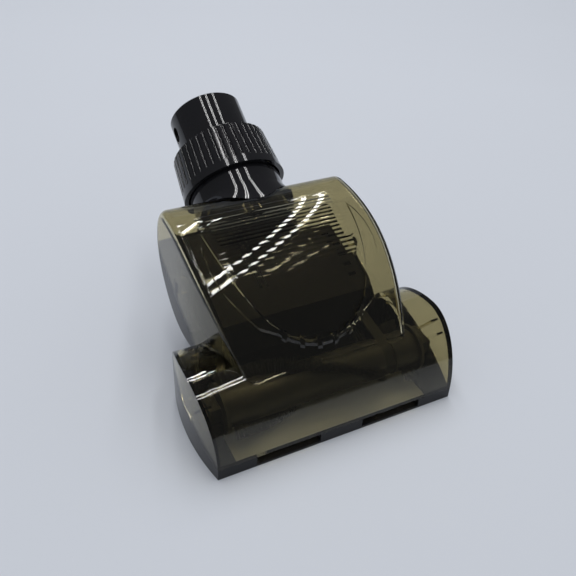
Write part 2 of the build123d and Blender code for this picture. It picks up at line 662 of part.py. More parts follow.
def make_bristle_rows():
    """Both helical rows, each in a long and a short stretch either side of the belt."""
    zone = BELT_WIDTH / 2 + BELT_SIDE_GAP + BRISTLE_SIDE_GAP
    spans = {"long": (-ROLLER_HALF_LENGTH, BELT_X - zone), "short": (BELT_X + zone, ROLLER_HALF_LENGTH)}
    rows = {}
    for letter, angle in (("a", 20), ("b", 200)):
        for span, (low_x, high_x) in spans.items():
            rows[f"bristle_row_{letter}_{span}"] = bristle_fin(angle, low_x, high_x)
    return rows


def ring_about_x(inner, outer, low_x, high_x, y, z):
    """A plain ring along X."""
    return rod(outer, low_x, high_x, y, z) - rod(inner, low_x - 1, high_x + 1, y, z)


def make_roller():
    """Every piece that turns with the roller."""
    rows = make_bristle_rows()
    core = make_roller_core() - list(rows.values())
    pieces = {"roller_core": core, **rows}
    near = ROLLER_HALF_LENGTH
    far = near + END_DISC_THICKNESS
    pieces["end_disc_right"] = ring_about_x(AXLE_RADIUS, END_DISC_RADIUS, near, far, ROLLER_Y, ROLLER_Z)
    pieces["end_disc_left"] = ring_about_x(AXLE_RADIUS, END_DISC_RADIUS, -far, -near, ROLLER_Y, ROLLER_Z)
    end = BLOCK_NEAR_X + BLOCK_THICKNESS - AXLE_END_GAP
    pieces["roller_axle"] = rod(AXLE_RADIUS, -end, end, ROLLER_Y, ROLLER_Z)
    return pieces


def make_roller_bearings():
    """The rubber block and bronze bush at each end of the roller."""
    pieces = {}
    near = BLOCK_NEAR_X
    far = near + BLOCK_THICKNESS
    half = BLOCK_SIZE / 2
    for name, low, high in (("left", -far, -near), ("right", near, far)):
        body = block((low, ROLLER_Y - half, ROLLER_Z - half), (high, ROLLER_Y + half, ROLLER_Z + half))
        body = body - rod(BUSH_RADIUS, low - 1, high + 1, ROLLER_Y, ROLLER_Z)
        pieces[f"bearing_block_{name}"] = body
        pieces[f"roller_bush_{name}"] = ring_about_x(
            AXLE_RADIUS + RUNNING_CLEARANCE, BUSH_RADIUS, low, high, ROLLER_Y, ROLLER_Z)
    return pieces


def make_turbine():
    """Turbine wheel, its shaft and its belt pulley."""
    low_x = TURBINE_LEFT_SEAT + BEARING_WIDTH + SIDE_CLEARANCE
    high_x = TURBINE_RIGHT_SEAT - SIDE_CLEARANCE
    root = TURBINE_HUB_RADIUS - 0.4
    tip = TURBINE_RADIUS
    sweep_back = math.radians(BLADE_SWEEP)
    lean = math.radians(BLADE_LEAN)
    section = Circle(TURBINE_HUB_RADIUS)
    for number in range(BLADE_COUNT):
        start = 360 / BLADE_COUNT * number
        tip_point = (tip * math.cos(sweep_back), tip * math.sin(sweep_back))
        middle = ((root + tip) / 2 * math.cos(lean), (root + tip) / 2 * math.sin(lean))
        front = ThreePointArc((root, 0), middle, tip_point)
        shift = BLADE_THICKNESS
        rear = ThreePointArc(
            (root, -shift), (middle[0] + shift * 0.4, middle[1] - shift),
            (tip_point[0] + shift * 0.8, tip_point[1] - shift * 0.7))
        blade = make_face([front, Line(front @ 1, rear @ 1), rear, Line(rear @ 0, front @ 0)])
        section = section + Rot(0, 0, start) * blade
    section = section & Circle(tip)
    wheel = across(Pos(TURBINE_Y, TURBINE_Z) * section, low_x, high_x)
    for x in (low_x, (low_x + high_x - DISC_THICKNESS) / 2, high_x - DISC_THICKNESS):
        wheel = wheel + rod(tip - BLADE_TIP_LIP, x, x + DISC_THICKNESS, TURBINE_Y, TURBINE_Z)
    wheel = wheel - rod(SHAFT_RADIUS, low_x - 1, high_x + 1, TURBINE_Y, TURBINE_Z)
    zone = BELT_WIDTH / 2 + BELT_SIDE_GAP
    flange = TURBINE_PULLEY_RADIUS + PULLEY_FLANGE
    outline = [(BELT_X - zone - FLANGE_THICKNESS, SHAFT_RADIUS), (BELT_X - zone - FLANGE_THICKNESS, flange),
               (BELT_X - zone, flange)]
    outline += pulley_outline(TURBINE_PULLEY_RADIUS, BELT_X - zone, BELT_X + zone)
    outline += [(BELT_X + zone, flange), (BELT_X + zone + FLANGE_THICKNESS, flange),
                (BELT_X + zone + FLANGE_THICKNESS, SHAFT_RADIUS)]
    shaft_end = BELT_X + zone + FLANGE_THICKNESS
    return {
        "turbine_wheel": wheel,
        "turbine_shaft": rod(SHAFT_RADIUS, TURBINE_LEFT_SEAT + SHAFT_END_GAP, shaft_end, TURBINE_Y, TURBINE_Z),
        "turbine_pulley": about_x(outline, TURBINE_Y, TURBINE_Z),
    }


def make_turbine_bearings():
    """The plain bearing at each end of the turbine shaft."""
    pieces = {}
    for name, low_x in (("left", TURBINE_LEFT_SEAT), ("right", TURBINE_RIGHT_SEAT)):
        pieces[f"turbine_bearing_{name}"] = ring_about_x(
            SHAFT_RADIUS + RUNNING_CLEARANCE, BEARING_RADIUS, low_x, low_x + BEARING_WIDTH,
            TURBINE_Y, TURBINE_Z)
    return pieces


def belt_loop(offset):
    """The closed outline round both pulleys, at offset from their rims."""
    front = Vector(ROLLER_Y, ROLLER_Z)
    rear = Vector(TURBINE_Y, TURBINE_Z)
    front_radius = ROLLER_PULLEY_RADIUS + offset
    rear_radius = TURBINE_PULLEY_RADIUS + offset
    span = rear - front
    heading = math.atan2(span.Y, span.X)
    spread = math.acos((front_radius - rear_radius) / span.length)

    def rim(centre, radius, angle):
        return (centre.X + radius * math.cos(angle), centre.Y + radius * math.sin(angle))

    top = [rim(front, front_radius, heading + spread), rim(rear, rear_radius, heading + spread)]
    low = [rim(front, front_radius, heading - spread), rim(rear, rear_radius, heading - spread)]
    return make_face([
        Line(top[0], top[1]),
        ThreePointArc(top[1], rim(rear, rear_radius, heading), low[1]),
        Line(low[1], low[0]),
        ThreePointArc(low[0], rim(front, front_radius, heading + math.pi), top[0]),
    ])


def make_belt():
    """Endless ribbed belt, a running gap clear of both pulleys."""
    low_x = BELT_X - BELT_WIDTH / 2
    inner = belt_loop(BELT_CLEARANCE)
    belt = across(belt_loop(BELT_CLEARANCE + BELT_THICKNESS) - inner, low_x, low_x + BELT_WIDTH)
    rib = belt_loop(BELT_CLEARANCE) - belt_loop(BELT_CLEARANCE - BELT_RIB_DEPTH)
    half = BELT_WIDTH / BELT_RIB_COUNT * BELT_RIB_SHARE
    for x in groove_centres():
        belt = belt + across(rib, x - half, x + half)
    return belt


def make_neck():
    """Flared black neck, clamped between the cover and the base by its foot flange."""
    flange = NECK_HOLE_RADIUS + NECK_FLANGE_LIP
    drum = NECK_HOLE_RADIUS - DUCT_GAP
    start = NECK_FOOT_START
    outline = [
        (FOOT_BORE_RADIUS, start), (flange, start), (flange, start + NECK_FLANGE_THICKNESS),
        (drum, start + NECK_FLANGE_THICKNESS), (drum, -15.6), (drum - 1.2, -14.2), (drum - 2.8, -12.6),
        (19.2, -10.6), (18.2, -7.6), (THROAT_RADIUS, -3.0), (THROAT_RADIUS, NECK_END),
        (NECK_BORE_RADIUS, NECK_END), (NECK_BORE_RADIUS, 0),
    ]
    neck = about_neck(outline)
    groove_floor = SEAL_RING_RADIUS - SEAL_RADIUS
    groove = about_neck([(groove_floor, SEAL_POSITION - SEAL_RADIUS), (20, SEAL_POSITION - SEAL_RADIUS),
                         (20, SEAL_POSITION + SEAL_RADIUS), (groove_floor, SEAL_POSITION + SEAL_RADIUS)])
    seal = NECK_FRAME.location * (Pos(0, 0, SEAL_POSITION) * Torus(SEAL_RING_RADIUS, SEAL_RADIUS))
    return {"neck": neck - groove, "neck_seal": seal}


def make_socket():
    """Turning tube socket with its hose bore and latch hole."""
    bore = THROAT_RADIUS + RUNNING_CLEARANCE
    seat = SOCKET_SHOULDER + SOCKET_LEDGE
    outline = [
        (bore, SOCKET_START), (SOCKET_RADIUS, SOCKET_START), (SOCKET_RADIUS, SOCKET_END - SOCKET_CHAMFER),
        (SOCKET_RADIUS - SOCKET_CHAMFER, SOCKET_END), (SOCKET_BORE_RADIUS, SOCKET_END), (SOCKET_BORE_RADIUS, seat),
        (NECK_BORE_RADIUS, seat), (NECK_BORE_RADIUS, SOCKET_SHOULDER), (bore, SOCKET_SHOULDER),
    ]
    hole = SlotOverall(LATCH_HOLE_LENGTH, 2 * LATCH_HOLE_RADIUS)
    cutter = extrude(Plane.YZ * (Rot(0, 0, 90) * hole), -REACH)
    position = Pos(0, 0, SOCKET_END - LATCH_HOLE_FROM_END)
    return about_neck(outline) - NECK_FRAME.location * (position * cutter)


def make_grip_ring():
    """Fluted grip ring with a plain lower rim."""
    step = (RING_LOW_RADIUS - RING_TOP_RADIUS) / RING_LENGTH
    bore = SOCKET_RADIUS + RING_CLEARANCE
    ceiling = RING_LENGTH - RING_RIM_LENGTH
    top_inner = RING_TOP_RADIUS - RING_WALL - RING_RIB_DEPTH
    outline = [
        (RING_LOW_RADIUS - RING_WALL, 0), (RING_LOW_RADIUS, 0),
        (RING_LOW_RADIUS - step * RING_RIM_LENGTH, RING_RIM_LENGTH),
        (RING_TOP_RADIUS + step * RING_TOP_CHAMFER, RING_LENGTH - RING_TOP_CHAMFER),
        (RING_TOP_RADIUS - RING_TOP_CHAMFER, RING_LENGTH),
        (bore, RING_LENGTH), (bore, ceiling), (top_inner, ceiling), (RING_LOW_RADIUS - RING_WALL, RING_SKIRT),
    ]
    ring = about_neck(outline)
    lean = math.degrees(math.atan(step))
    length = RING_LENGTH - RING_RIM_LENGTH + 2
    start_radius = RING_LOW_RADIUS - step * RING_RIM_LENGTH
    groove = Pos(start_radius, 0, RING_RIM_LENGTH + 0.5) * Rot(0, -lean, 0) * (
        extrude(Circle(RING_RIB_DEPTH), length))
    grooves = [NECK_FRAME.location * (Rot(0, 0, 360 / RING_RIB_COUNT * number) * groove)
               for number in range(RING_RIB_COUNT)]
    return ring - grooves


def make_wheel(side):
    """One rear wheel with rounded rims."""
    low_x = side * WHEEL_X - WHEEL_WIDTH / 2
    high_x = low_x + WHEEL_WIDTH
    hole = WHEEL_PIN_RADIUS + RUNNING_CLEARANCE
    round_off = WHEEL_ROUNDING
    outline = [
        (low_x, hole), (low_x, WHEEL_RADIUS - round_off), (low_x + round_off, WHEEL_RADIUS),
        (high_x - round_off, WHEEL_RADIUS), (high_x, WHEEL_RADIUS - round_off), (high_x, hole),
    ]
    return about_x(outline, WHEEL_Y, WHEEL_RADIUS)


def make_wheel_pins():
    """The steel pins of both rear wheels."""
    half = WHEEL_WIDTH / 2 + WHEEL_GAP + LUG_THICKNESS
    return [rod(WHEEL_PIN_RADIUS, side * WHEEL_X - half, side * WHEEL_X + half, WHEEL_Y, WHEEL_RADIUS)
            for side in (-1, 1)]


def make_screws():
    """The four cover screws, driven up from the sole."""
    screws = []
    for x, y, joint_z, seat_z, _ in screw_places():
        shank = column(SCREW_RADIUS, x, y, seat_z - SCREW_HEAD_HEIGHT / 2, joint_z + SCREW_BITE - SCREW_END_GAP)
        head = column(SCREW_HEAD_RADIUS, x, y, seat_z - SCREW_HEAD_HEIGHT, seat_z)
        slot = block((x - SCREW_HEAD_RADIUS, y - SCREW_SLOT_WIDTH / 2, seat_z - SCREW_HEAD_HEIGHT - 1),
                     (x + SCREW_HEAD_RADIUS, y + SCREW_SLOT_WIDTH / 2,
                      seat_z - SCREW_HEAD_HEIGHT + SCREW_SLOT_DEPTH))
        screws.append(shank + head - slot)
    return screws


def write_piece(name, shape):
    """Centre a piece in the part's frame and write it."""
    placed = Pos(0, -OVERALL_LENGTH / 2, 0) * (Compound(shape) if isinstance(shape, list) else shape)
    export_step(placed, f"parts/{name}.step")


def main():
    os.makedirs("parts", exist_ok=True)
    form = outer_form()
    hollow = cavity()
    shell = form - hollow
    duct_tray, duct_roof = make_duct()
    pieces = {
        "top_cover": make_top_cover(shell, form),
        "base": make_base(shell, form, hollow),
        "duct_tray": duct_tray,
        "duct_roof": duct_roof,
        "lint_strip": make_lint_strip(),
        **make_roller(),
        **make_roller_bearings(),
        **make_turbine(),
        **make_turbine_bearings(),
        "drive_belt": make_belt(),
        **make_neck(),
        "tube_socket": make_socket(),
        "grip_ring": make_grip_ring(),
        "rear_wheel_left": make_wheel(-1),
        "rear_wheel_right": make_wheel(1),
        "wheel_pins": make_wheel_pins(),
        "cover_screws": make_screws(),
    }
    for name, shape in pieces.items():
        write_piece(name, shape)


main()
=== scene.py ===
"""Dresses the vacuum turbo brush: finishes for every moulded and turned piece, a collared neck, nylon
tufts on the roller, cross-headed screws, and a pale studio. Metres, in the model's own frame: X across,
+Y from the front lip to the neck, Z up from the floor."""
import json
import math
import random

import bpy
from bpy.props import FloatProperty, FloatVectorProperty, IntProperty, PointerProperty
from mathutils import Matrix, Vector


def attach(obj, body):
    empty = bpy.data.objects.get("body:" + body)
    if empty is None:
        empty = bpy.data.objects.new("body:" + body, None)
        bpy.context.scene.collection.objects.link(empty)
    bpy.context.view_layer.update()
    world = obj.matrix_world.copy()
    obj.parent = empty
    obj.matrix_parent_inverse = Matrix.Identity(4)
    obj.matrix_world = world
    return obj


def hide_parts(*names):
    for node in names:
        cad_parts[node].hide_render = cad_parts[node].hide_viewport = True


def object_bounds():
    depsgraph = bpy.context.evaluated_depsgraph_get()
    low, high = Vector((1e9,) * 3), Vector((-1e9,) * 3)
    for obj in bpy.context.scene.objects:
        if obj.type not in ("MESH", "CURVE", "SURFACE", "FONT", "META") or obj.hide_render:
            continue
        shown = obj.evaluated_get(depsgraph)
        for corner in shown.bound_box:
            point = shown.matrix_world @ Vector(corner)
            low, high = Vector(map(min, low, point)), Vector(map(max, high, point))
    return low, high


bl_info = {
    "name": "Turbo Brush Dressing",
    "version": (1, 0, 0),
    "blender": (4, 5, 0),
    "location": "View3D > Sidebar > Turbo Brush",
    "description": "Finishes, neck, bristle tufts, screws and studio for a vacuum turbo brush",
    "category": "Object",
}

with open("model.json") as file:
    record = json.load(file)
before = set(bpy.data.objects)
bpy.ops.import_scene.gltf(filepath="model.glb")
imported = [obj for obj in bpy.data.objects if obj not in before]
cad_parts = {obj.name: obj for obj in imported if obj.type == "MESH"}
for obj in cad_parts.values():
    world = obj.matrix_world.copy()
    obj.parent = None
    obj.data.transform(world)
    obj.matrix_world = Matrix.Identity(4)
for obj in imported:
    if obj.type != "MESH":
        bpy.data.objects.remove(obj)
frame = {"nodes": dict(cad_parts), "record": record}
CAD_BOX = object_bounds()

MM = 0.001
LIP_Y = CAD_BOX[0][1]
JOINTS = {joint["name"]: joint for joint in frame["record"]["behaviour"]["joints"]}
ROLLER_AXIS = Vector(JOINTS["roller_spin"]["pos_m"])

# Bristle rows: each row's angle at the roller's left end, in degrees, the stretches beside the belt, the
# roller's half length and how far a row winds along it, and where tufts start and end, in mm
ROW_ANGLES = {"a": 20.0, "b": 200.0}
ROW_SPANS = {"long": (-48.4, 28.4), "short": (38.2, 48.4)}
ROLLER_HALF_LENGTH = 49.0
ROW_TWIST = 200.0
TUFT_ROOT_RADIUS = 9.0
TUFT_TIP_RADIUS = 15.5

# Ribbed panel on the hump's ridge. The ridge's steepness, carried on to the lip, falls evenly along Y, in
# radians and radians a metre. RIDGE_TOP is its highest point, in mm from the lip and up, and RIDGE_DIP is
# how fast it falls away from there. The panel's run is in mm from the lip, and its half width is given
# there at two places
RIDGE_SLOPE = math.radians(60.59)
RIDGE_SLOPE_FALL = math.radians(651.5)
RIDGE_TOP = (93.0, 77.0)
RIDGE_DIP = 5.9
PANEL_RUN = (47.0, 81.0)
PANEL_REACH = ((46.5, 30.0), (71.5, 32.0))
PANEL_SKIN = 1.0
PANEL_LIKENESS = 0.75

# Ceiling lamps, as shares of the ceiling's height: how far across from the brush each pair of tubes
# passes, and where it starts and ends along its length. LAMP_CENTRE is in mm from the front lip
FIXTURES = {"a": (-0.28, -0.3, 1.0), "b": (0.01, -0.3, 1.0), "c": (0.33, -0.45, 1.05)}
TUBE_SPACING = 0.05
TUBE_WIDTH = 0.013
LAMP_CENTRE = (0, 60, 70)

# Neck, in mm along its axis from the socket's seat: the collar, the flare below it with the lowest it goes
# in front and behind, how its foot is felt for on the cover, and the outline as radius and height
NECK_PLACE = Vector(JOINTS["socket_swivel"]["pos_m"])
NECK_AXIS = Vector(JOINTS["socket_swivel"]["axis"])
NECK_TURN = Matrix([(1, 0, 0), NECK_AXIS.cross(Vector((1, 0, 0))), NECK_AXIS]).transposed()
NECK_SIDES = 128
COLLAR_RADIUS = 24.5
COLLAR_FOOT = -8.5
FLARE_RADIUS = 26.6
FLARE_LOWEST = -21.0
FLARE_BACK = -16.0
FOOT_PROBE = -5.0
FOOT_GAP = 0.12
NECK_OUTLINE = [
    (11.8, -26.0), (24.6, -26.0), (24.6, -24.0), (23.0, -24.0), (23.0, FLARE_LOWEST),
    (FLARE_RADIUS, FLARE_LOWEST), (26.35, -19.9), (26.0, -18.5), (25.6, -16.6), (25.2, -14.4),
    (24.9, -12.4), (24.65, -10.4),
    (COLLAR_RADIUS, COLLAR_FOOT), (COLLAR_RADIUS, 0.8), (24.2, 1.1), (17.6, 1.1), (17.6, 11.0), (15.8, 11.0),
    (15.8, 13.0), (17.6, 13.0), (17.6, 19.6), (17.2, 20.0), (14.6, 20.0), (14.6, 0.0)]

# Cover screws, in mm: place from the front lip and the height of each head's seat, then one screw's sizes
SCREW_PLACES = ((-53.0, 46.5, 3.0), (53.0, 46.5, 3.0), (-45.1, 76.0, 29.0), (45.1, 76.0, 29.0))
HEAD_RADIUS = 3.0
HEAD_HEIGHT = 2.0
HEAD_ROUNDING = 0.5
SHANK_RADIUS = 1.35
SHANK_LENGTH = 9.0
SHANK_MIDDLE = 4.4
RECESS = (3.2, 0.75, 1.8)

# Cover: bending of light, and the share of a lamp's light that its two walls let through, over its tint
COVER_IOR = 1.46
LAMP_SHARE = 0.45

# Floor, in metres: its side and middle, and the two rises that turn it into the backdrop
FLOOR_SIDE = 4.0
FLOOR_MIDDLE = (0.3, 0.2, 0)
BACKDROP_RISES = ((0, 0.6, 0.5), (0, 0.1, 1.8))


class BrushFinish(bpy.types.PropertyGroup):
    """Colours and sheen of the brush's materials."""

    cover_tint: FloatVectorProperty(
        name="Cover tint", description="Colour of light that has passed one wall of the smoked cover",
        default=(0.64, 0.59, 0.41), size=3, subtype="COLOR", min=0, max=1)
    cover_roughness: FloatProperty(
        name="Cover roughness", description="Haze of the polished smoked plastic",
        default=0.012, min=0, max=1, subtype="FACTOR")
    housing_black: FloatVectorProperty(
        name="Housing black", description="Moulded black of the base, neck and duct",
        default=(0.010, 0.010, 0.012), size=3, subtype="COLOR", min=0, max=1)
    roller_grey: FloatVectorProperty(
        name="Roller grey", description="Moulded dark grey of the roller and the turbine",
        default=(0.030, 0.030, 0.032), size=3, subtype="COLOR", min=0, max=1)
    bristle_black: FloatVectorProperty(
        name="Bristle black", description="Colour of the nylon filaments",
        default=(0.020, 0.019, 0.018), size=3, subtype="COLOR", min=0, max=1)
    rubber_black: FloatVectorProperty(
        name="Rubber black", description="Colour of the belt, seal and bearing blocks",
        default=(0.014, 0.014, 0.015), size=3, subtype="COLOR", min=0, max=1)
    steel_grey: FloatVectorProperty(
        name="Steel grey", description="Colour of turned and plated steel",
        default=(0.56, 0.56, 0.57), size=3, subtype="COLOR", min=0, max=1)
    bronze: FloatVectorProperty(
        name="Bronze", description="Colour of the sintered bushes and the pulley",
        default=(0.42, 0.28, 0.13), size=3, subtype="COLOR", min=0, max=1)


class TuftSizes(bpy.types.PropertyGroup):
    """Sizes of the roller's nylon tufts."""

    pitch: FloatProperty(
        name="Tuft pitch", description="Distance between tufts along the roller",
        default=2.5 * MM, min=1 * MM, max=10 * MM, unit="LENGTH", precision=4)
    filaments: IntProperty(
        name="Filaments", description="Filaments in one tuft", default=42, min=4, max=60)
    filament_radius: FloatProperty(
        name="Filament radius", description="Radius of one nylon filament",
        default=0.11 * MM, min=0.02 * MM, max=1 * MM, unit="LENGTH", precision=5)
    root_radius: FloatProperty(
        name="Root radius", description="Radius of the hole that holds one tuft",
        default=1.3 * MM, min=0.3 * MM, max=3 * MM, unit="LENGTH", precision=4)
    tip_spread: FloatProperty(
        name="Tip spread", description="How far the filaments' tips part, over their roots",
        default=2.4, min=1, max=4)


class StudioLook(bpy.types.PropertyGroup):
    """Camera, lamps and backdrop."""

    camera_place: FloatVectorProperty(
        name="Camera place", description="Camera position from the front lip, in metres",
        default=(-0.1271, -0.1806, 0.2392), size=3, subtype="TRANSLATION", unit="LENGTH")
    camera_yaw: FloatProperty(
        name="Camera yaw", description="Turn of the view from +Y towards +X",
        default=math.radians(28.08), subtype="ANGLE")
    camera_pitch: FloatProperty(
        name="Camera pitch", description="How far the view looks down",
        default=math.radians(35.81), subtype="ANGLE")
    camera_roll: FloatProperty(
        name="Camera roll", description="Tilt of the picture", default=math.radians(2.53), subtype="ANGLE")
    camera_lens: FloatProperty(
        name="Lens", description="Focal length on a 36 mm wide sensor", default=43.73, min=10, max=300)
    floor_colour: FloatVectorProperty(
        name="Floor colour", description="Pale blue grey of the floor and backdrop",
        default=(0.67, 0.70, 0.76), size=3, subtype="COLOR", min=0, max=1)
    world_strength: FloatProperty(
        name="World strength", description="Even light from all round", default=0.36, min=0, max=5)
    mirrored_world: FloatProperty(
        name="Mirrored world", description="Share of the even light that mirrors and clear walls pass on",
        default=0.35, min=0, max=1, subtype="FACTOR")
    ceiling: FloatProperty(
        name="Ceiling height", description="Height of the tube lamps over the floor",
        default=1.6, min=0.5, max=5, unit="LENGTH")
    tube_power: FloatProperty(
        name="Tube power", description="Light of each tube lamp, in watts", default=3.6, min=0, max=500)
    tube_turn: FloatProperty(
        name="Tube turn", description="Turn of the tube lamps from +Y towards +X",
        default=math.radians(20.5), subtype="ANGLE")


def deselect_all():
    """Leave nothing selected, in object mode."""
    if bpy.context.object and bpy.context.object.mode != "OBJECT":
        bpy.ops.object.mode_set(mode="OBJECT")
    bpy.ops.object.select_all(action="DESELECT")


def newest(name):
    """The object that the last primitive made, renamed."""
    piece = bpy.context.object
    piece.name = name
    piece.data.name = name
    return piece


def make_active(piece):
    """Select one object only."""
    deselect_all()
    piece.select_set(True)
    bpy.context.view_layer.objects.active = piece


def settle(piece):
    """Bake the object's place, turn and scale into its mesh."""
    make_active(piece)
    bpy.ops.object.transform_apply(location=True, rotation=True, scale=True)
    return piece


def merge(pieces, name):
    """Join objects into one mesh."""
    deselect_all()
    for piece in pieces:
        piece.select_set(True)
    bpy.context.view_layer.objects.active = pieces[0]
    bpy.ops.object.join()
    joined = pieces[0]
    joined.name = name
    joined.data.name = name
    return joined


def copied(piece, place):
    """A copy of a piece with its own mesh, moved by a matrix."""
    twin = piece.copy()
    twin.data = piece.data.copy()
    twin.data.transform(place)
    bpy.context.collection.objects.link(twin)
    return twin


def give(piece, material):
    """Make a material the piece's only one."""
    piece.data.materials.clear()
    piece.data.materials.append(material)


def dress_nodes(names, material):
    """Put a material on carried-over nodes."""
    for name in names:
        piece = frame["nodes"][name]
        if piece.material_slots:
            for holder in piece.material_slots:
                holder.material = material
        else:
            piece.data.materials.append(material)


def group_shell(name, inputs, outputs):
    """An empty shader node group with its sockets and its two end nodes."""
    group = bpy.data.node_groups.new(name, "ShaderNodeTree")
    for label, kind, value in inputs:
        socket = group.interface.new_socket(name=label, in_out="INPUT", socket_type=kind)
        if value is not None:
            socket.default_value = value
    for label, kind in outputs:
        group.interface.new_socket(name=label, in_out="OUTPUT", socket_type=kind)
    entry = group.nodes.new("NodeGroupInput")
    leave = group.nodes.new("NodeGroupOutput")
    return group, entry, leave


def noise(tree, vector, scale, detail=3.0, rough=0.55):
    """A noise texture on a vector."""
    node = tree.nodes.new("ShaderNodeTexNoise")
    node.inputs["Scale"].default_value = scale
    node.inputs["Detail"].default_value = detail
    node.inputs["Roughness"].default_value = rough
    tree.links.new(vector, node.inputs["Vector"])
    return node


def ranged(tree, value, low, high, to_low, to_high):
    """A value's range mapped to another, clamped."""
    node = tree.nodes.new("ShaderNodeMapRange")
    for socket, number in (("From Min", low), ("From Max", high), ("To Min", to_low), ("To Max", to_high)):
        if isinstance(number, float):
            node.inputs[socket].default_value = number
        else:
            tree.links.new(number, node.inputs[socket])
    tree.links.new(value, node.inputs["Value"])
    return node.outputs["Result"]


def math_node(tree, operation, first, second):
    """A math node of two sockets or numbers."""
    node = tree.nodes.new("ShaderNodeMath")
    node.operation = operation
    for index, value in enumerate((first, second)):
        if isinstance(value, (int, float)):
            node.inputs[index].default_value = value
        else:
            tree.links.new(value, node.inputs[index])
    return node.outputs["Value"]


def moulded_skin_group():
    """Fine moulded grain with slow changes of sheen, and hair scratches from handling."""
    group, entry, leave = group_shell(
        "Moulded Skin",
        [("Vector", "NodeSocketVector", None), ("Grain Scale", "NodeSocketFloat", 2600.0),
         ("Roughness", "NodeSocketFloat", 0.3), ("Sheen Spread", "NodeSocketFloat", 0.06),
         ("Scratch Amount", "NodeSocketFloat", 0.1)],
        [("Roughness", "NodeSocketFloat"), ("Height", "NodeSocketFloat")])
    grain = noise(group, entry.outputs["Vector"], 1.0, 2.0)
    group.links.new(entry.outputs["Grain Scale"], grain.inputs["Scale"])
    cloud = noise(group, entry.outputs["Vector"], 45.0, 3.0)
    stretch = group.nodes.new("ShaderNodeMapping")
    stretch.inputs["Rotation"].default_value = (0.4, 0.9, 0.6)
    stretch.inputs["Scale"].default_value = (1.0, 26.0, 1.0)
    group.links.new(entry.outputs["Vector"], stretch.inputs["Vector"])
    hair = noise(group, stretch.outputs["Vector"], 130.0, 2.0)
    lines = ranged(group, hair.outputs["Fac"], 0.66, 0.72, 0.0, 1.0)
    marks = math_node(group, "MULTIPLY", lines, entry.outputs["Scratch Amount"])
    spread = math_node(group, "MULTIPLY", math_node(group, "SUBTRACT", cloud.outputs["Fac"], 0.5),
                       entry.outputs["Sheen Spread"])
    level = math_node(group, "ADD", entry.outputs["Roughness"], spread)
    group.links.new(math_node(group, "ADD", level, marks), leave.inputs["Roughness"])
    height = math_node(group, "SUBTRACT", grain.outputs["Fac"], math_node(group, "MULTIPLY", marks, 0.5))
    group.links.new(height, leave.inputs["Height"])
    return group


def dust_group():
    """Scattered specks and thin settled dust."""
    group, entry, leave = group_shell(
        "Light Dust",
        [("Vector", "NodeSocketVector", None), ("Amount", "NodeSocketFloat", 0.2),
         ("Clean", "NodeSocketColor", (0.02, 0.02, 0.02, 1)),
         ("Dust", "NodeSocketColor", (0.34, 0.33, 0.30, 1))],
        [("Color", "NodeSocketColor")])
    specks = group.nodes.new("ShaderNodeTexVoronoi")
    specks.inputs["Scale"].default_value = 420.0
    group.links.new(entry.outputs["Vector"], specks.inputs["Vector"])
    dots = ranged(group, specks.outputs["Distance"], 0.10, 0.04, 0.0, 1.0)
    patches = noise(group, entry.outputs["Vector"], 60.0, 4.0)
    where = ranged(group, patches.outputs["Fac"], 0.52, 0.75, 0.0, 1.0)
    film = math_node(group, "MULTIPLY", where, 0.10)
    mask = math_node(group, "ADD", math_node(group, "MULTIPLY", dots, where), film)
    mask = math_node(group, "MULTIPLY", mask, entry.outputs["Amount"])
    blend = group.nodes.new("ShaderNodeMix")
    blend.data_type = "RGBA"
    group.links.new(mask, blend.inputs["Factor"])
    group.links.new(entry.outputs["Clean"], blend.inputs["A"])
    group.links.new(entry.outputs["Dust"], blend.inputs["B"])
    group.links.new(blend.outputs["Result"], leave.inputs["Color"])
    return group


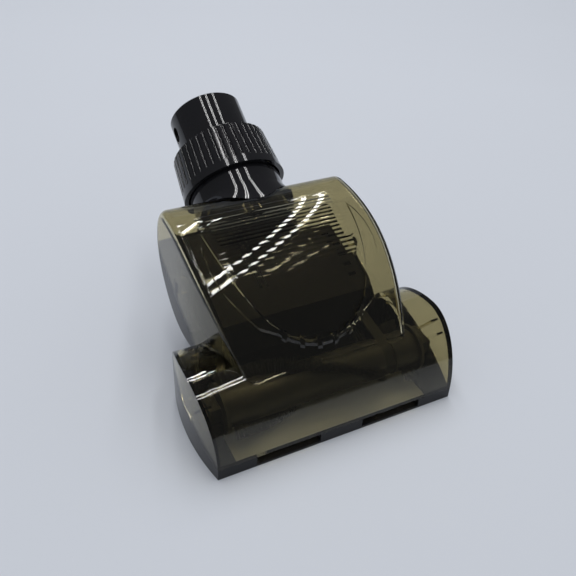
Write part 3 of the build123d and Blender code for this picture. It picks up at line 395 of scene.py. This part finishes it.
def panel_rib_group():
    """Fine flat ribs across the ridge, inside the U bead, parted by steep grooves: their face and place."""
    group, entry, leave = group_shell(
        "Panel Ribs",
        [("Vector", "NodeSocketVector", None), ("Pitch", "NodeSocketFloat", 2.2 * MM),
         ("Groove Share", "NodeSocketFloat", 0.5), ("Groove Tilt", "NodeSocketFloat", 0.42)],
        [("Normal", "NodeSocketVector"), ("Panel", "NodeSocketFloat")])
    parts = group.nodes.new("ShaderNodeSeparateXYZ")
    group.links.new(entry.outputs["Vector"], parts.inputs["Vector"])
    from_lip = math_node(group, "SUBTRACT", parts.outputs["Y"], LIP_Y)
    step = math_node(group, "FRACT", math_node(group, "DIVIDE", from_lip, entry.outputs["Pitch"]), 0.0)
    groove = math_node(group, "LESS_THAN", step, entry.outputs["Groove Share"])
    fall = math_node(group, "MULTIPLY", from_lip, RIDGE_SLOPE_FALL)
    slope = math_node(group, "SUBTRACT", RIDGE_SLOPE, fall)
    lean = math_node(group, "MULTIPLY", groove, entry.outputs["Groove Tilt"])
    tilted = math_node(group, "ADD", slope, lean)
    face = group.nodes.new("ShaderNodeCombineXYZ")
    backwards = math_node(group, "MULTIPLY", math_node(group, "SINE", tilted, 0.0), -1.0)
    group.links.new(backwards, face.inputs["Y"])
    group.links.new(math_node(group, "COSINE", tilted, 0.0), face.inputs["Z"])
    turned = group.nodes.new("ShaderNodeVectorTransform")
    turned.vector_type = "NORMAL"
    turned.convert_from = "OBJECT"
    turned.convert_to = "WORLD"
    group.links.new(face.outputs["Vector"], turned.inputs["Vector"])
    likeness = group.nodes.new("ShaderNodeVectorMath")
    likeness.operation = "DOT_PRODUCT"
    group.links.new(group.nodes.new("ShaderNodeNewGeometry").outputs["Normal"], likeness.inputs[0])
    group.links.new(turned.outputs["Vector"], likeness.inputs[1])
    (low_y, low_reach), (high_y, high_reach) = PANEL_REACH
    reach = ranged(group, from_lip, low_y * MM, high_y * MM, low_reach * MM, high_reach * MM)
    shown = group.nodes.new("ShaderNodeVectorMath")
    shown.operation = "SCALE"
    group.links.new(turned.outputs["Vector"], shown.inputs[0])
    group.links.new(math_node(group, "SIGN", likeness.outputs["Value"], 0.0), shown.inputs["Scale"])
    behind = math_node(group, "SUBTRACT", RIDGE_TOP[0] * MM, from_lip)
    dip = math_node(group, "MULTIPLY", math_node(group, "MULTIPLY", behind, behind), RIDGE_DIP)
    skin = math_node(group, "SUBTRACT", (RIDGE_TOP[1] - PANEL_SKIN) * MM, dip)
    alike = math_node(group, "ABSOLUTE", likeness.outputs["Value"], 0.0)
    panel = math_node(group, "GREATER_THAN", alike, PANEL_LIKENESS)
    across = math_node(group, "ABSOLUTE", parts.outputs["X"], 0.0)
    for mask in (math_node(group, "GREATER_THAN", parts.outputs["Z"], skin),
                 math_node(group, "LESS_THAN", across, reach),
                 math_node(group, "GREATER_THAN", from_lip, PANEL_RUN[0] * MM),
                 math_node(group, "LESS_THAN", from_lip, PANEL_RUN[1] * MM)):
        panel = math_node(group, "MULTIPLY", panel, mask)
    group.links.new(shown.outputs["Vector"], leave.inputs["Normal"])
    group.links.new(panel, leave.inputs["Panel"])
    return group


def lathe_group():
    """Fine turned rings and mottling of a machined or sintered metal."""
    group, entry, leave = group_shell(
        "Turned Metal",
        [("Vector", "NodeSocketVector", None), ("Pore Scale", "NodeSocketFloat", 900.0),
         ("Light", "NodeSocketColor", (0.5, 0.5, 0.5, 1)), ("Dark", "NodeSocketColor", (0.3, 0.3, 0.3, 1)),
         ("Roughness", "NodeSocketFloat", 0.35)],
        [("Color", "NodeSocketColor"), ("Roughness", "NodeSocketFloat"), ("Height", "NodeSocketFloat")])
    rings = group.nodes.new("ShaderNodeTexWave")
    rings.bands_direction = "X"
    rings.inputs["Scale"].default_value = 700.0
    rings.inputs["Distortion"].default_value = 1.2
    group.links.new(entry.outputs["Vector"], rings.inputs["Vector"])
    pores = noise(group, entry.outputs["Vector"], 1.0, 4.0)
    group.links.new(entry.outputs["Pore Scale"], pores.inputs["Scale"])
    mix = group.nodes.new("ShaderNodeMix")
    mix.data_type = "RGBA"
    group.links.new(ranged(group, pores.outputs["Fac"], 0.35, 0.65, 0.0, 1.0), mix.inputs["Factor"])
    group.links.new(entry.outputs["Dark"], mix.inputs["A"])
    group.links.new(entry.outputs["Light"], mix.inputs["B"])
    group.links.new(mix.outputs["Result"], leave.inputs["Color"])
    spread = math_node(group, "MULTIPLY", pores.outputs["Fac"], 0.2)
    group.links.new(math_node(group, "ADD", entry.outputs["Roughness"], spread), leave.inputs["Roughness"])
    height = math_node(group, "ADD", math_node(group, "MULTIPLY", rings.outputs["Fac"], 0.5),
                       pores.outputs["Fac"])
    group.links.new(height, leave.inputs["Height"])
    return group


def placed_group(tree, name, maker, spot, values=()):
    """A shared node group, built on its first use, placed on a vector with its own values."""
    node = tree.nodes.new("ShaderNodeGroup")
    node.node_tree = bpy.data.node_groups.get(name) or maker()
    tree.links.new(spot, node.inputs["Vector"])
    for label, value in values:
        node.inputs[label].default_value = value
    return node


def blank_material(name):
    """A material, its Principled shader and its Object coordinates."""
    material = bpy.data.materials.new(name)
    material.use_nodes = True
    tree = material.node_tree
    shader = tree.nodes["Principled BSDF"]
    spot = tree.nodes.new("ShaderNodeTexCoord").outputs["Object"]
    return material, tree, shader, spot


def add_bump(tree, height, shader, distance, strength=1.0):
    """Feed a height through a Bump node to the shader's Normal."""
    bump = tree.nodes.new("ShaderNodeBump")
    bump.inputs["Strength"].default_value = strength
    bump.inputs["Distance"].default_value = distance
    tree.links.new(height, bump.inputs["Height"])
    tree.links.new(bump.outputs["Normal"], shader.inputs["Normal"])


def moulded_material(name, colour, roughness, grain_depth, grain_scale=2600.0, dust=0.25, scratch=0.08,
                     spread=0.08, specular=0.5):
    """Moulded plastic, rubber or felt with grain, changing sheen, scratches and a little dust."""
    material, tree, shader, spot = blank_material(name)
    skin = placed_group(tree, "Moulded Skin", moulded_skin_group, spot, (
        ("Grain Scale", grain_scale), ("Roughness", roughness), ("Sheen Spread", spread),
        ("Scratch Amount", scratch)))
    tree.links.new(skin.outputs["Roughness"], shader.inputs["Roughness"])
    add_bump(tree, skin.outputs["Height"], shader, grain_depth)
    film = placed_group(tree, "Light Dust", dust_group, spot, (("Amount", dust), ("Clean", (*colour, 1))))
    tree.links.new(film.outputs["Color"], shader.inputs["Base Color"])
    shader.inputs["Specular IOR Level"].default_value = specular
    return material


def metal_material(name, light, dark, roughness, pore_scale):
    """Turned or sintered metal."""
    material, tree, shader, spot = blank_material(name)
    turned = placed_group(tree, "Turned Metal", lathe_group, spot, (
        ("Pore Scale", pore_scale), ("Light", (*light, 1)), ("Dark", (*dark, 1)), ("Roughness", roughness)))
    tree.links.new(turned.outputs["Color"], shader.inputs["Base Color"])
    tree.links.new(turned.outputs["Roughness"], shader.inputs["Roughness"])
    shader.inputs["Metallic"].default_value = 1.0
    add_bump(tree, turned.outputs["Height"], shader, 0.02 * MM)
    return material


def smoked_material(finish):
    """Smoked clear plastic: it tints what is behind it and lets the lamps' light through."""
    material, tree, shader, spot = blank_material("Smoked clear plastic")
    shader.inputs["Base Color"].default_value = (*finish.cover_tint, 1)
    shader.inputs["Transmission Weight"].default_value = 1.0
    shader.inputs["IOR"].default_value = COVER_IOR
    skin = placed_group(tree, "Moulded Skin", moulded_skin_group, spot, (
        ("Grain Scale", 55.0), ("Roughness", finish.cover_roughness), ("Sheen Spread", 0.01),
        ("Scratch Amount", 0.03)))
    tree.links.new(skin.outputs["Roughness"], shader.inputs["Roughness"])
    add_bump(tree, skin.outputs["Height"], shader, 0.03 * MM)
    ribs = placed_group(tree, "Panel Ribs", panel_rib_group, spot)
    face = tree.nodes.new("ShaderNodeMix")
    face.data_type = "VECTOR"
    tree.links.new(ribs.outputs["Panel"], face.inputs["Factor"])
    tree.links.new(shader.inputs["Normal"].links[0].from_socket, face.inputs["A"])
    tree.links.new(ribs.outputs["Normal"], face.inputs["B"])
    tree.links.new(face.outputs["Result"], shader.inputs["Normal"])
    clear = tree.nodes.new("ShaderNodeBsdfTransparent")
    clear.inputs["Color"].default_value = (*(LAMP_SHARE * part for part in finish.cover_tint), 1)
    path = tree.nodes.new("ShaderNodeLightPath")
    chooser = tree.nodes.new("ShaderNodeMixShader")
    tree.links.new(path.outputs["Is Shadow Ray"], chooser.inputs["Fac"])
    tree.links.new(shader.outputs["BSDF"], chooser.inputs[1])
    tree.links.new(clear.outputs["BSDF"], chooser.inputs[2])
    tree.links.new(chooser.outputs["Shader"], tree.nodes["Material Output"].inputs["Surface"])
    return material


def neck_foot(angle):
    """How far down the neck's axis its flare reaches the cover at this angle, in mm."""
    cover = frame["nodes"]["top_cover"]
    out = NECK_TURN @ Vector((math.cos(angle), math.sin(angle), 0))
    start = NECK_PLACE + out * FLARE_RADIUS * MM + NECK_AXIS * FOOT_PROBE * MM
    struck, spot, _, _ = cover.ray_cast(start, -NECK_AXIS)
    depth = (spot - NECK_PLACE).dot(NECK_AXIS) / MM + FOOT_GAP if struck else FLARE_LOWEST
    return max(depth, FLARE_LOWEST if out.z > 0 else FLARE_BACK)


def collared_neck():
    """The black neck, drawn ring by ring: foot flange, drum, flare on the cover, collar and throat."""
    deselect_all()
    bpy.ops.mesh.primitive_circle_add(vertices=NECK_SIDES, radius=NECK_OUTLINE[0][0] * MM,
                                      location=(0, 0, NECK_OUTLINE[0][1] * MM))
    neck = settle(newest("flared_neck"))
    bpy.ops.object.mode_set(mode="EDIT")
    bpy.ops.mesh.select_all(action="SELECT")
    radius, height = NECK_OUTLINE[0]
    for next_radius, next_height in NECK_OUTLINE[1:] + NECK_OUTLINE[:1]:
        bpy.ops.mesh.extrude_edges_move(
            TRANSFORM_OT_translate={"value": (0, 0, (next_height - height) * MM)})
        share = next_radius / radius
        bpy.ops.transform.resize(value=(share, share, 1), center_override=(0, 0, next_height * MM))
        radius, height = next_radius, next_height
    bpy.ops.mesh.select_all(action="SELECT")
    bpy.ops.mesh.remove_doubles(threshold=0.01 * MM)
    bpy.ops.mesh.normals_make_consistent(inside=False)
    bpy.ops.object.mode_set(mode="OBJECT")
    depths = [neck_foot(math.tau * number / NECK_SIDES) for number in range(NECK_SIDES)]
    for vertex in neck.data.vertices:
        height = vertex.co.z / MM
        if FLARE_LOWEST - 0.5 < height < COLLAR_FOOT - 0.01:
            angle = math.atan2(vertex.co.y, vertex.co.x) % math.tau
            number = round(angle / math.tau * NECK_SIDES)
            near = [depths[(number + step) % NECK_SIDES] for step in (-2, -1, 0, 1, 2)]
            share = (height - COLLAR_FOOT) / (FLARE_LOWEST - COLLAR_FOOT)
            vertex.co.z = (COLLAR_FOOT + share * (sum(near) / len(near) - COLLAR_FOOT)) * MM
    neck.data.transform(Matrix.Translation(NECK_PLACE) @ NECK_TURN.to_4x4())
    make_active(neck)
    bpy.ops.object.shade_smooth_by_angle(angle=math.radians(35))
    return neck


class BRUSH_OT_smoked_cover(bpy.types.Operator):
    """Give the top cover its smoked clear plastic"""

    bl_idname = "turbo_brush.smoked_cover"
    bl_label = "Smoked cover"

    def execute(self, context):
        dress_nodes(["top_cover"], smoked_material(context.scene.brush_finish))
        return {"FINISHED"}


class BRUSH_OT_black_housing(bpy.types.Operator):
    """Make the neck, and finish the base, the inner duct, the socket, the grip ring and the wheels"""

    bl_idname = "turbo_brush.black_housing"
    bl_label = "Black housing"

    def execute(self, context):
        black = context.scene.brush_finish.housing_black
        dress_nodes(["base"],
                    moulded_material("Moulded black", black, 0.20, 0.004 * MM, dust=0.06, scratch=0.04,
                                     specular=0.3))
        dress_nodes(["duct_tray", "duct_roof"],
                    moulded_material("Duct black", black, 0.45, 0.012 * MM, dust=0.02, scratch=0.02,
                                     specular=0.12))
        polished = moulded_material("Polished black", black, 0.05, 0.0008 * MM, dust=0.03, scratch=0.03,
                                    spread=0.03)
        dress_nodes(["tube_socket"], polished)
        neck = collared_neck()
        give(neck, polished)
        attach(neck, "housing")
        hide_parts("neck")
        dress_nodes(["grip_ring"],
                    moulded_material("Satin black", black, 0.08, 0.0008 * MM, dust=0.05, scratch=0.04,
                                     spread=0.04))
        dress_nodes(["rear_wheel_left", "rear_wheel_right"],
                    moulded_material("Wheel black", black, 0.45, 0.03 * MM, dust=0.5, scratch=0.2))
        return {"FINISHED"}


class BRUSH_OT_drive_train(bpy.types.Operator):
    """Finish the roller core, the turbine, the belt, the bushes and the shafts"""

    bl_idname = "turbo_brush.drive_train"
    bl_label = "Drive train"

    def execute(self, context):
        finish = context.scene.brush_finish
        dress_nodes(["roller_core", "end_disc_left", "end_disc_right"],
                    moulded_material("Roller grey", finish.roller_grey, 0.42, 0.02 * MM, dust=0.5))
        dress_nodes(["turbine_wheel"],
                    moulded_material("Turbine grey", finish.roller_grey, 0.35, 0.015 * MM, dust=0.4))
        dress_nodes(["drive_belt", "neck_seal", "bearing_block_left", "bearing_block_right"],
                    moulded_material("Black rubber", finish.rubber_black, 0.62, 0.03 * MM,
                                     grain_scale=1500.0, dust=0.5))
        dress_nodes(["lint_strip"],
                    moulded_material("Felt", finish.bristle_black, 0.85, 0.25 * MM,
                                     grain_scale=1900.0, dust=0.8))
        steel = metal_material("Turned steel", finish.steel_grey,
                               tuple(0.8 * part for part in finish.steel_grey), 0.22, 500.0)
        dress_nodes(["roller_axle", "turbine_shaft", "wheel_pins"], steel)
        bronze = metal_material("Sintered bronze", finish.bronze,
                                tuple(0.55 * part for part in finish.bronze), 0.36, 1400.0)
        dress_nodes(["roller_bush_left", "roller_bush_right", "turbine_bearing_left",
                     "turbine_bearing_right", "turbine_pulley"], bronze)
        return {"FINISHED"}


def one_filament(sizes, height):
    """A thin nylon filament that stands on the origin and tapers to its tip."""
    deselect_all()
    bpy.ops.mesh.primitive_cone_add(
        vertices=5, radius1=sizes.filament_radius, radius2=sizes.filament_radius * 0.8, depth=height,
        end_fill_type="NGON", location=(0, 0, height / 2))
    return settle(newest("filament"))


def one_tuft(sizes, height, dice):
    """A bundle of filaments whose tips part."""
    seed = one_filament(sizes, height)
    strands = []
    for number in range(sizes.filaments):
        away = sizes.root_radius * math.sqrt((number + 0.5) / sizes.filaments)
        turn = number * math.radians(137.5)
        lean = away * (sizes.tip_spread - 1) / height + dice.uniform(-0.02, 0.02)
        sideways = dice.uniform(-0.03, 0.03)
        grow = Matrix.Diagonal((1, 1, dice.uniform(0.955, 1.0), 1))
        tilt = Matrix.Rotation(lean, 4, "Y") @ Matrix.Rotation(sideways, 4, "X")
        place = Matrix.Rotation(turn, 4, "Z") @ Matrix.Translation((away, 0, 0)) @ tilt @ grow
        strands.append(copied(seed, place))
    bpy.data.objects.remove(seed)
    return merge(strands, "tuft")


def matrix_of(place, columns):
    """A matrix that sets something at a place, with its X, Y and Z along three directions."""
    return Matrix.Translation(place) @ Matrix([[c[i] for c in columns] for i in range(3)]).to_4x4()


def tuft_place(x, row_angle):
    """Where a tuft stands at x on a row: its Z points out from the roller's axis."""
    turn = math.radians(row_angle + (x + ROLLER_HALF_LENGTH) * ROW_TWIST / (2 * ROLLER_HALF_LENGTH))
    out = Vector((0, math.cos(turn), math.sin(turn)))
    along = Vector((1, 0, 0))
    foot = Vector((x * MM, ROLLER_AXIS.y, ROLLER_AXIS.z)) + out * TUFT_ROOT_RADIUS * MM
    return matrix_of(foot, (along, out.cross(along), out))


class BRUSH_OT_bristles(bpy.types.Operator):
    """Plant nylon tufts along the roller's helical rows"""

    bl_idname = "turbo_brush.bristles"
    bl_label = "Bristles"

    def execute(self, context):
        sizes = context.scene.brush_tufts
        nylon = moulded_material("Nylon", context.scene.brush_finish.bristle_black, 0.34, 0.002 * MM,
                                 grain_scale=4000.0, dust=0.6)
        height = (TUFT_TIP_RADIUS - TUFT_ROOT_RADIUS) * MM
        dice = random.Random(7)
        tufts = [one_tuft(sizes, height, dice) for _ in range(3)]
        for letter, row_angle in ROW_ANGLES.items():
            for span, (low, high) in ROW_SPANS.items():
                edge = sizes.root_radius / MM * sizes.tip_spread + 0.2
                count = max(2, round((high - low - 2 * edge) / (sizes.pitch / MM)) + 1)
                planted = []
                for number in range(count):
                    x = low + edge + (high - low - 2 * edge) * number / (count - 1)
                    spin = Matrix.Rotation(dice.uniform(0, math.tau), 4, "Z")
                    planted.append(copied(tufts[number % 3], tuft_place(x, row_angle) @ spin))
                row = merge(planted, f"bristle_tufts_{letter}_{span}")
                give(row, nylon)
                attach(row, "roller")
                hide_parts(f"bristle_row_{letter}_{span}")
        for tuft in tufts:
            bpy.data.objects.remove(tuft)
        return {"FINISHED"}


def one_screw():
    """A pan-headed screw with a cross recess: its head's seat is at the origin, the shank points up."""
    deselect_all()
    bpy.ops.mesh.primitive_cylinder_add(vertices=32, radius=HEAD_RADIUS * MM, depth=HEAD_HEIGHT * MM,
                                        location=(0, 0, -HEAD_HEIGHT / 2 * MM))
    screw = settle(newest("cover_screw"))
    deselect_all()
    bpy.ops.mesh.primitive_cylinder_add(vertices=20, radius=SHANK_RADIUS * MM, depth=SHANK_LENGTH * MM,
                                        location=(0, 0, SHANK_MIDDLE * MM))
    shank = settle(newest("shank"))
    rim = screw.modifiers.new("rim", "BEVEL")
    rim.width = HEAD_ROUNDING * MM
    rim.segments = 3
    rim.limit_method = "ANGLE"
    make_active(screw)
    bpy.ops.object.modifier_apply(modifier="rim")
    for turned in (0, math.pi / 2):
        deselect_all()
        bpy.ops.mesh.primitive_cube_add(size=1, location=(0, 0, -HEAD_HEIGHT * MM), rotation=(0, 0, turned))
        slot = newest("slot")
        slot.scale = [side * MM for side in RECESS]
        settle(slot)
        cut = screw.modifiers.new("cross", "BOOLEAN")
        cut.operation = "DIFFERENCE"
        cut.object = slot
        make_active(screw)
        bpy.ops.object.modifier_apply(modifier="cross")
        bpy.data.objects.remove(slot)
    return merge([screw, shank], "cover_screw")


class BRUSH_OT_cover_screws(bpy.types.Operator):
    """Cross-headed screws in the underside"""

    bl_idname = "turbo_brush.cover_screws"
    bl_label = "Cover screws"

    def execute(self, context):
        seed = one_screw()
        screws = []
        for x, y, seat in SCREW_PLACES:
            screws.append(copied(seed, Matrix.Translation((x * MM, LIP_Y + y * MM, seat * MM))))
        bpy.data.objects.remove(seed)
        screws = merge(screws, "cross_head_screws")
        finish = context.scene.brush_finish
        give(screws, metal_material("Blackened steel", tuple(0.2 * part for part in finish.steel_grey),
                                    tuple(0.1 * part for part in finish.steel_grey), 0.3, 800.0))
        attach(screws, "housing")
        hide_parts("cover_screws")
        return {"FINISHED"}


def look_matrix(place, yaw, pitch, roll):
    """A camera's matrix from its place and its turns."""
    ahead = Vector((math.sin(yaw) * math.cos(pitch), math.cos(yaw) * math.cos(pitch), -math.sin(pitch)))
    right = Vector((math.cos(yaw), -math.sin(yaw), 0))
    up = right.cross(ahead)
    side = math.cos(roll) * right + math.sin(roll) * up
    top = -math.sin(roll) * right + math.cos(roll) * up
    return matrix_of(place, (side, top, -ahead))


def tube_lamp(name, place, turn, width, length, power):
    """A long narrow lamp that hangs level and shines down."""
    bpy.ops.object.light_add(type="AREA", location=place, rotation=(0, 0, -turn))
    lamp = bpy.context.object
    lamp.name = name
    lamp.data.shape = "RECTANGLE"
    lamp.data.size = width
    lamp.data.size_y = length
    lamp.data.energy = power
    return lamp


def studio_sweep(look):
    """A floor that curves up into the backdrop."""
    bpy.ops.mesh.primitive_grid_add(x_subdivisions=2, y_subdivisions=2, size=FLOOR_SIDE,
                                    location=FLOOR_MIDDLE)
    sweep = settle(newest("studio_floor"))
    bpy.ops.object.mode_set(mode="EDIT")
    bpy.ops.mesh.select_all(action="DESELECT")
    bpy.ops.object.mode_set(mode="OBJECT")
    back = max(vertex.co.y for vertex in sweep.data.vertices)
    for edge in sweep.data.edges:
        edge.select = all(abs(sweep.data.vertices[i].co.y - back) < 1e-4 for i in edge.vertices)
    for vertex in sweep.data.vertices:
        vertex.select = abs(vertex.co.y - back) < 1e-4
    bpy.ops.object.mode_set(mode="EDIT")
    bpy.ops.mesh.select_mode(type="EDGE")
    for rise in BACKDROP_RISES:
        bpy.ops.mesh.extrude_region_move(TRANSFORM_OT_translate={"value": rise})
    bpy.ops.object.mode_set(mode="OBJECT")
    bend = sweep.modifiers.new("bend", "SUBSURF")
    bend.levels = bend.render_levels = 3
    bpy.ops.object.modifier_apply(modifier="bend")
    bpy.ops.object.shade_smooth()
    material, tree, shader, spot = blank_material("Studio paper")
    paper = noise(tree, spot, 3.0, 2.0)
    blend = tree.nodes.new("ShaderNodeMix")
    blend.data_type = "RGBA"
    tree.links.new(paper.outputs["Fac"], blend.inputs["Factor"])
    blend.inputs["A"].default_value = (*(0.985 * part for part in look.floor_colour), 1)
    blend.inputs["B"].default_value = (*(1.015 * part for part in look.floor_colour), 1)
    tree.links.new(blend.outputs["Result"], shader.inputs["Base Color"])
    shader.inputs["Roughness"].default_value = 0.75
    shader.inputs["Specular IOR Level"].default_value = 0.2
    give(sweep, material)


class BRUSH_OT_studio(bpy.types.Operator):
    """Floor, backdrop, lamps and camera"""

    bl_idname = "turbo_brush.studio"
    bl_label = "Studio"

    def execute(self, context):
        look = context.scene.brush_studio
        deselect_all()
        studio_sweep(look)
        scene = context.scene
        scene.view_settings.view_transform = "Standard"
        world = bpy.data.worlds.new("Studio")
        world.use_nodes = True
        sky = world.node_tree.nodes["Background"]
        sky.inputs["Color"].default_value = (0.93, 0.96, 1.0, 1)
        path = world.node_tree.nodes.new("ShaderNodeLightPath")
        bent = math_node(world.node_tree, "MAXIMUM", path.outputs["Is Glossy Ray"],
                         path.outputs["Is Transmission Ray"])
        level = ranged(world.node_tree, bent, 0.0, 1.0, look.world_strength,
                       look.world_strength * look.mirrored_world)
        world.node_tree.links.new(level, sky.inputs["Strength"])
        scene.world = world
        along = Vector((math.sin(look.tube_turn), math.cos(look.tube_turn), 0))
        for fixture, (across, start, end) in FIXTURES.items():
            for side in (-1, 1):
                foot = Vector((across + side * TUBE_SPACING / 2, 0, 1)) + along * (start + end) / 2
                place = foot * look.ceiling + Vector((0, LIP_Y, 0)) + Vector(LAMP_CENTRE) * MM
                tube_lamp(f"tube_{fixture}_{'left' if side < 0 else 'right'}", place, look.tube_turn,
                          TUBE_WIDTH * look.ceiling, (end - start) * look.ceiling, look.tube_power)
        bpy.ops.object.camera_add()
        camera = bpy.context.object
        camera.name = "brush_camera"
        place = Vector(look.camera_place) + Vector((0, LIP_Y, 0))
        camera.matrix_world = look_matrix(place, look.camera_yaw, look.camera_pitch, look.camera_roll)
        camera.data.sensor_width = 36.0
        camera.data.lens = look.camera_lens
        camera.data.clip_start = 0.01
        scene.camera = camera
        return {"FINISHED"}


STEPS = (BRUSH_OT_studio, BRUSH_OT_smoked_cover, BRUSH_OT_black_housing, BRUSH_OT_drive_train,
         BRUSH_OT_bristles, BRUSH_OT_cover_screws)


class BRUSH_PT_panel(bpy.types.Panel):
    """Lists the dressing's steps and settings"""

    bl_label = "Turbo Brush"
    bl_idname = "BRUSH_PT_panel"
    bl_space_type = "VIEW_3D"
    bl_region_type = "UI"
    bl_category = "Turbo Brush"

    def draw(self, context):
        for step in STEPS:
            self.layout.operator(step.bl_idname)
        for settings in (context.scene.brush_finish, context.scene.brush_tufts, context.scene.brush_studio):
            box = self.layout.box()
            for name in settings.__annotations__:
                box.prop(settings, name)


CLASSES = (BrushFinish, TuftSizes, StudioLook, *STEPS, BRUSH_PT_panel)


def register():
    for kind in CLASSES:
        bpy.utils.register_class(kind)
    bpy.types.Scene.brush_finish = PointerProperty(type=BrushFinish)
    bpy.types.Scene.brush_tufts = PointerProperty(type=TuftSizes)
    bpy.types.Scene.brush_studio = PointerProperty(type=StudioLook)


def unregister():
    del bpy.types.Scene.brush_studio
    del bpy.types.Scene.brush_tufts
    del bpy.types.Scene.brush_finish
    for kind in reversed(CLASSES):
        bpy.utils.unregister_class(kind)


def main():
    register()
    for step in STEPS:
        group, name = step.bl_idname.split(".")
        getattr(getattr(bpy.ops, group), name)()


if __name__ == "__main__":
    main()
